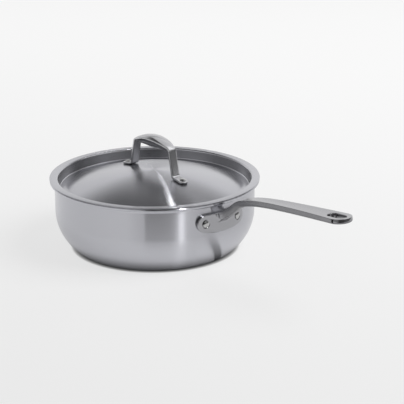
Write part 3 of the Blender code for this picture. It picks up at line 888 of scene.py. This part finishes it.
def steel(name, color, roughness, relief, anisotropy=0.0, grain=None, shade_and_dull=None, spared=0.0, tip=None):
    """Stainless steel, brushed round the axis, or straight with a grain of scratches per metre.

    Fine scratches and smudges vary its roughness and colour, and its edges are worn smooth and
    bright. Faces that point down or sideways get a painted shade, and are made rougher with it:
    the four limits of facing give how far these point up, as the lowest pair and the highest pair,
    and spared how much of that is left out over the pan and on the bracket. A tip is how far from
    the pan's axis the long handle's polished tip begins, and such a piece has a polished bracket too.
    """
    material = bpy.data.materials.new(name)
    material.use_nodes = True
    tree = material.node_tree
    shader = tree.nodes["Principled BSDF"]
    shader.inputs["Metallic"].default_value = 1.0
    shader.inputs["Anisotropic"].default_value = anisotropy
    coordinates = tree.nodes.new("ShaderNodeTexCoord")
    place = coordinates.outputs["Object"]
    scratches = noise(tree, place, grain, 3.0) if grain else brush_round(tree, shader, place)
    smudges = noise(tree, place, SMUDGE_SCALE, 4.0)
    curve = tree.nodes.new("ShaderNodeNewGeometry").outputs["Pointiness"]
    worn = ramp(tree, curve, WORN_CURVE, (0.0, 1.0))

    rough, shade = roughness, MEAN_SHADE
    for cloud, effects in ((scratches, SCRATCHES_DO), (smudges, SMUDGES_DO)):
        rough = spread(tree, rough, cloud, effects[0] * roughness)
        shade = spread(tree, shade, cloud, effects[1])
    rough = calc(tree, "MULTIPLY_ADD", worn, WEAR_DOES[0] * roughness, rough)
    shade = calc(tree, "MULTIPLY_ADD", worn, WEAR_DOES[1], shade)
    # Painted shade: faces that point down or sideways are darkened, and made rougher by the same share
    if shade_and_dull:
        less = painted_shade_and_dulling(tree, coordinates, shade_and_dull, spared)
        shade = calc(tree, "MULTIPLY", shade, calc(tree, "SUBTRACT", 1.0, less))
        rough = calc(tree, "MULTIPLY_ADD", less, DULL_ROUGHNESS, rough)
    if tip:
        outwards = distance_out(tree, place)
        at_tip = ramp(tree, outwards, (tip, tip + TIP_FADE), (1.0, TIP_ROUGHNESS))
        rough = product(tree, rough, at_tip, ramp(tree, outwards, PLATE_ZONE, (PLATE_ROUGHNESS, 1.0)))
        shade = product(tree, shade, ramp(tree, outwards, PLATE_ZONE, (PLATE_SHADE, 1.0)))
    tree.links.new(rough, shader.inputs["Roughness"])

    tint = tree.nodes.new("ShaderNodeMix")
    tint.data_type = "RGBA"
    tint.inputs["A"].default_value = (0.0, 0.0, 0.0, 1.0)
    tint.inputs["B"].default_value = (*color, 1.0)
    tree.links.new(shade, tint.inputs["Factor"])
    tree.links.new(tint.outputs["Result"], shader.inputs["Base Color"])

    bump = tree.nodes.new("ShaderNodeBump")
    bump.inputs["Strength"].default_value = relief
    bump.inputs["Distance"].default_value = BUMP_HEIGHT
    tree.links.new(scratches, bump.inputs["Height"])
    tree.links.new(bump.outputs[0], shader.inputs["Normal"])
    return material


# The object

BRUSHED_STEEL = (0.585, 0.587, 0.625)
STRAIGHT_DOWN = (-1.2, -1.1)  # a lowest pair of limits that leaves out no face, not even an underside
brushed_pan = steel("brushed_pan", BRUSHED_STEEL, 0.25, 0.04, anisotropy=1.0)
# The limits of facing given to these three also darken faces of the lid and both handles, as painted shade
brushed_lid = steel("brushed_lid", BRUSHED_STEEL, 0.21, 0.04, anisotropy=1.0,
                    shade_and_dull=(-0.6, -0.3, 0.1, 0.35))
satin_handle = steel("satin_handle", (0.45, 0.45, 0.47), 0.2, 0.12, grain=(45.0, 1500.0, 1500.0),
                     shade_and_dull=(*STRAIGHT_DOWN, -0.2, 0.7), spared=0.55, tip=0.295)
satin_grip = steel("satin_lid_handle", (0.58, 0.58, 0.6), 0.16, 0.12, grain=(1500.0, 90.0, 1500.0),
                   shade_and_dull=(*STRAIGHT_DOWN, -0.3, 0.0), spared=0.3)
polished_rivets = steel("polished_rivets", (0.55, 0.55, 0.55), 0.15, 0.05, grain=(400.0, 400.0, 400.0))

pan = settle(make_pan_body(), "pan", brushed_pan, "brushed_pan", "pan_body")
lid = settle(make_lid_shell(), "lid", brushed_lid, "brushed_lid", "lid_shell")
long_handle = settle(make_pan_handle(), "pan", satin_handle, "satin_handle", "pan_handle")
grip = settle(make_lid_handle(), "lid", satin_grip, "satin_lid_handle", "lid_handle")

inner_wall = PAN_RADIUS - WALL
wall_sag = PAN_RIVET[3] ** 2 / (2 * inner_wall)
pan_seats = (PLATE_OUTER - DISH_DEPTH + CLEARANCE, inner_wall - wall_sag - CLEARANCE)
for side, word in ((1, "left"), (-1, "right")):
    rivet = make_rivet(f"rivet_{word}", PAN_RIVET, pan_seats, wall_place(side * RIVET_ANGLE))
    settle(rivet, "pan", polished_rivets, "polished_rivets", f"pan_handle_rivet_{word}")
crown_sag = LID_RIVET[3] ** 2 / (2 * CROWN_RADIUS)
lid_seats = (CLEARANCE + 2 * FOOT_HALF + CLEARANCE, -LID_SHEET - crown_sag - CLEARANCE)
for side, word in ((1, "front"), (-1, "rear")):
    rivet = make_rivet(f"rivet_{word}", LID_RIVET, lid_seats, foot_place(side))
    settle(rivet, "lid", polished_rivets, "polished_rivets", f"lid_handle_rivet_{word}")

# Floor, light and camera

CAMERA_PLACE = Vector((1.3787, -1.1210, 0.6454))
CAMERA_AIM = Vector((-0.7160, 0.6225, -0.3160))
CAMERA_SIDE = math.atan2(-CAMERA_AIM.y, -CAMERA_AIM.x)
CAMERA_SENSOR = 36.0
CAMERA_LENS = 133.66
FLOOR_SIZE = 12.0
FLOOR_FRONT = 0.47  # how far the floor runs towards the camera
FLOOR_DROP = 0.3 * MM  # how far it lies under the pan's base
FLOOR_FADE = (-1.1, 1.5)  # between these distances behind the pan
FLOOR_GLOW = (0.865, 1.12)  # the floor's glow rises from one strength to the other
GLOW_SEEN = 0.72  # the share of the floor's look that is glow, for the camera
GLOW_MIRRORED = 0.5  # and for the steel
RIGHT_FADE = (0.06, 0.28)  # between these distances to the pan's right
RIGHT_LOSS = (-0.16, 0.15)  # the share of its glow that the floor loses in the steel, below 0 for a gain
CONTACT_REACH = (5.0 * MM, 14.0 * MM)  # width of the dark line under the pan, seen directly and mirrored
CONTACT_POWER = 1.5
UNDER_PAN = (0.8 * BASE_RADIUS, BASE_RADIUS)  # where the light under the base ends
UNDER_PAN_LIGHT = 0.8
SHADOW_SIDE = 0.018  # how far the long handle's shadow lies to its side
SHADOW_SPREAD = (0.05, 0.1)  # half the width of its core and of its edge, for each metre along it
SHADOW_START = (0.05, 0.08)
SHADOW_END = (0.1, 0.28)
SHADOW_DEPTH = 0.92
FLAG_AHEAD = 0.295  # the flag is a dark card, whose place and size these are
FLAG_ASIDE = 0.043
FLAG_WIDTH = 0.16
FLAG_HEIGHT = 0.3
LAMP_AIM = Vector((0.0, 0.0, 0.09))  # what the lamps face, a point inside the lid
LAMP_DISTANCE = 2.0
AMBIENT = 0.085
BACKDROP = 0.88  # the background that the camera sees
OFF_ON = (0.0, 1.0)  # results of a ramp that starts something
ON_OFF = (1.0, 0.0)  # and of one that ends it


def toward(turn, rise=0.0):
    """A direction from the pan: degrees to the right of the camera, and above level."""
    azimuth, rise = CAMERA_SIDE + math.radians(turn), math.radians(rise)
    return Vector((math.cos(azimuth) * math.cos(rise), math.sin(azimuth) * math.cos(rise), math.sin(rise)))


def spot(ahead, right, up):
    """A place given in metres towards the camera, to its right, and up."""
    return toward(0.0) * ahead + toward(90.0) * right + Vector((0.0, 0.0, up))


def mix_shaders(tree, share, first, second):
    """The first shader where the share is 0, and the second where it is 1."""
    mix = tree.nodes.new("ShaderNodeMixShader")
    for value, socket in zip((share, first.outputs[0], second.outputs[0]), mix.inputs):
        tree.links.new(value, socket)
    return mix


def handle_shadow(tree, place, mirrored):
    """The long handle's shadow on the floor, which only the steel shows, narrower towards the pan."""
    along, aside, _ = separate(tree, place)
    off_line = calc(tree, "ABSOLUTE", calc(tree, "SUBTRACT", aside, SHADOW_SIDE))
    lean = calc(tree, "DIVIDE", off_line, along)
    near_line = ramp(tree, lean, SHADOW_SPREAD, ON_OFF)
    started = ramp(tree, along, SHADOW_START, OFF_ON)
    return product(tree, near_line, mirrored, started, ramp(tree, along, SHADOW_END, (SHADOW_DEPTH, 0.0)))


def open_to_light(tree, place, mirrored):
    """How much light reaches the floor: little next to the base, under which the steel shows some."""
    hidden = tree.nodes.new("ShaderNodeAmbientOcclusion")
    attach(tree, ramp(tree, mirrored, OFF_ON, CONTACT_REACH), hidden.inputs["Distance"])
    near_middle = ramp(tree, vector_calc(tree, "LENGTH", place), UNDER_PAN, (UNDER_PAN_LIGHT, 0.0))
    under_pan = product(tree, near_middle, mirrored)
    return calc(tree, "MAXIMUM", calc(tree, "POWER", hidden.outputs["AO"], CONTACT_POWER), under_pan)


def make_floor_material():
    """Matt and pale, with a glow that the camera and the steel see, and clear from below."""
    material = bpy.data.materials.new("pale_floor")
    material.use_nodes = True
    tree = material.node_tree
    matt = tree.nodes["Principled BSDF"]
    matt.inputs["Roughness"].default_value = 0.9
    matt.inputs["Specular IOR Level"].default_value = 0.0
    matt.inputs["Base Color"].default_value = (0.85, 0.85, 0.85, 1.0)
    place = tree.nodes.new("ShaderNodeTexCoord").outputs["Object"]
    ray = tree.nodes.new("ShaderNodeLightPath")
    mirrored = ray.outputs["Is Glossy Ray"]

    shadow = handle_shadow(tree, place, mirrored)
    depth = vector_calc(tree, "DOT_PRODUCT", place, toward(180.0))
    aside = vector_calc(tree, "DOT_PRODUCT", place, toward(90.0))
    darker = product(tree, ramp(tree, aside, RIGHT_FADE, RIGHT_LOSS), mirrored)
    left_over = calc(tree, "SUBTRACT", calc(tree, "SUBTRACT", 1.0, darker), shadow)
    paleness = product(tree, ramp(tree, depth, FLOOR_FADE, FLOOR_GLOW), left_over)
    glow = tree.nodes.new("ShaderNodeEmission")
    attach(tree, product(tree, paleness, open_to_light(tree, place, mirrored)), glow.inputs["Strength"])

    seen = product(tree, ray.outputs["Is Camera Ray"], GLOW_SEEN)
    share = calc(tree, "MAXIMUM", seen, product(tree, mirrored, GLOW_MIRRORED))
    share = calc(tree, "MAXIMUM", share, shadow)
    from_above = mix_shaders(tree, share, matt, glow)
    backface = tree.nodes.new("ShaderNodeNewGeometry").outputs["Backfacing"]
    surface = mix_shaders(tree, backface, from_above, tree.nodes.new("ShaderNodeBsdfTransparent"))
    tree.links.new(surface.outputs[0], tree.nodes["Material Output"].inputs["Surface"])
    return material


def make_floor():
    """A pale floor that ends in front of the pan, outside the picture."""
    clear_selection()
    middle = toward(180.0) * (FLOOR_SIZE / 2 - FLOOR_FRONT)
    bpy.ops.mesh.primitive_plane_add(size=FLOOR_SIZE, location=middle, rotation=(0.0, 0.0, CAMERA_SIDE))
    floor = new_piece("floor")
    for vert in floor.data.vertices:
        vert.co.z = -FLOOR_DROP
    floor.data.materials.append(make_floor_material())


def make_flag():
    """A dark card that stands in front of the pan, out of the camera's sight but seen in the wall."""
    clear_selection()
    bpy.ops.mesh.primitive_plane_add(size=1.0)
    flag = new_piece("flag")
    for vert in flag.data.vertices:
        right, up = FLAG_ASIDE + FLAG_WIDTH * vert.co.x, FLAG_HEIGHT * (0.5 + vert.co.y)
        vert.co = spot(FLAG_AHEAD, right, up)
    material = bpy.data.materials.new("dark_card")
    material.use_nodes = True
    shader = material.node_tree.nodes["Principled BSDF"]
    shader.inputs["Base Color"].default_value = (0.02, 0.02, 0.02, 1.0)
    shader.inputs["Roughness"].default_value = 0.9
    flag.data.materials.append(material)
    flag.visible_camera = flag.visible_shadow = flag.visible_diffuse = False


def make_world():
    """A studio: a pale wall behind the pan, and less light from above and from the camera's side."""
    world = bpy.data.worlds.new("studio")
    bpy.context.scene.world = world
    world.use_nodes = True
    tree = world.node_tree
    place = tree.nodes.new("ShaderNodeTexCoord").outputs["Generated"]
    heading = vector_calc(tree, "NORMALIZE", levelled(tree, place))
    rise = separate(tree, place)[2]

    def side(turn, inner, outer):
        """Full within the inner angle to both sides of a direction, and none past the outer one."""
        cosines = (math.cos(math.radians(outer)), math.cos(math.radians(inner)))
        return ramp(tree, vector_calc(tree, "DOT_PRODUCT", heading, toward(turn)), cosines, OFF_ON)

    def below(low, high):
        """Full below the low angle above level, and none above the high one."""
        sines = (math.sin(math.radians(low)), math.sin(math.radians(high)))
        return ramp(tree, rise, sines, ON_OFF)

    back = product(tree, side(180.0, 35.0, 60.0), below(24.0, 52.0))
    high_back = product(tree, side(155.0, 20.0, 45.0), below(50.0, 75.0))
    left = product(tree, side(-80.0, 55.0, 75.0), below(30.0, 62.0))
    right = product(tree, side(85.0, 40.0, 52.0), below(20.0, 50.0))
    high_front = calc(tree, "SUBTRACT", below(55.0, 75.0), below(8.0, 24.0))
    front = product(tree, side(0.0, 60.0, 90.0), high_front)
    ground = product(tree, below(-4.0, 0.0), calc(tree, "SUBTRACT", 1.0, side(4.0, 22.0, 34.0)))
    total = AMBIENT
    for light, strength in (
        (back, 0.66), (high_back, 0.12), (left, 0.26), (right, 0.08), (front, 0.32), (ground, 0.6)
    ):
        total = calc(tree, "MULTIPLY_ADD", light, strength, total)
    seen = tree.nodes.new("ShaderNodeLightPath").outputs["Is Camera Ray"]
    background = tree.nodes["Background"]
    tree.links.new(ramp(tree, seen, OFF_ON, (total, BACKDROP)), background.inputs["Strength"])
    background.inputs["Color"].default_value = (1.0, 1.0, 1.0, 1.0)


def make_lamp(name, start, end, width, radiance, on_floor=False, lit=()):
    """A flat lamp from one place to another that faces the pan; its power gives it the radiance.

    It lights the floor alone, or it is seen in the metal, of all pieces or of those named as lit.
    """
    middle, along = (start + end) / 2, end - start
    bpy.ops.object.light_add(type="AREA", location=middle)
    lamp = bpy.context.object
    lamp.name = name
    lamp.data.shape = "RECTANGLE"
    lamp.data.size, lamp.data.size_y = along.length, width
    lamp.data.energy = radiance * math.pi * along.length * width
    facing = (middle - LAMP_AIM).normalized()
    across = facing.cross(along).normalized()
    axes = Matrix((across.cross(facing), across, facing)).transposed()
    lamp.matrix_world = Matrix.Translation(middle) @ axes.to_4x4()
    lamp.visible_diffuse, lamp.visible_glossy = on_floor, not on_floor
    if lit:
        receivers = bpy.data.collections.new(name)
        lamp.light_linking.receiver_collection = receivers
        for piece in lit:
            receivers.objects.link(piece)


def make_lamps():
    """Strips that draw the bright lines on the wall and the crown, and boxes for the rest."""
    low, high = toward(32.0, 22.0) * LAMP_DISTANCE, toward(32.0, 50.0) * LAMP_DISTANCE
    make_lamp("side_strip", low, high, 0.025, 190.0, lit=(pan, long_handle))
    make_lamp("top_strip", spot(-1.167, 0.143, 1.708), spot(-0.769, 0.265, 1.917), 0.012, 30.0, lit=(lid,))
    make_lamp("streak_strip", spot(-1.618, 0.038, 1.266), spot(-1.45, 0.075, 1.46), 0.012, 14.0, lit=(lid,))
    make_lamp("grip_box", spot(-1.8, 0.4, 1.9), spot(0.3, 0.4, 1.9), 1.8, 0.6, lit=(grip,))
    make_lamp("soft_box", spot(-1.0, 1.3, 1.7), spot(0.4, 1.3, 1.7), 1.2, 0.85)
    make_lamp("floor_box", spot(-0.5, 1.4, 1.7), spot(1.1, 1.4, 1.7), 1.6, 4.0, on_floor=True)


def make_camera():
    """The photograph's view."""
    bpy.ops.object.camera_add(location=CAMERA_PLACE)
    camera = bpy.context.object
    camera.rotation_mode = "QUATERNION"
    camera.rotation_quaternion = CAMERA_AIM.to_track_quat("-Z", "Y")
    camera.data.sensor_width = CAMERA_SENSOR
    camera.data.lens = CAMERA_LENS
    bpy.context.scene.camera = camera


make_floor()
make_flag()
make_world()
make_lamps()
make_camera()
bpy.context.scene.view_settings.view_transform = "Standard"
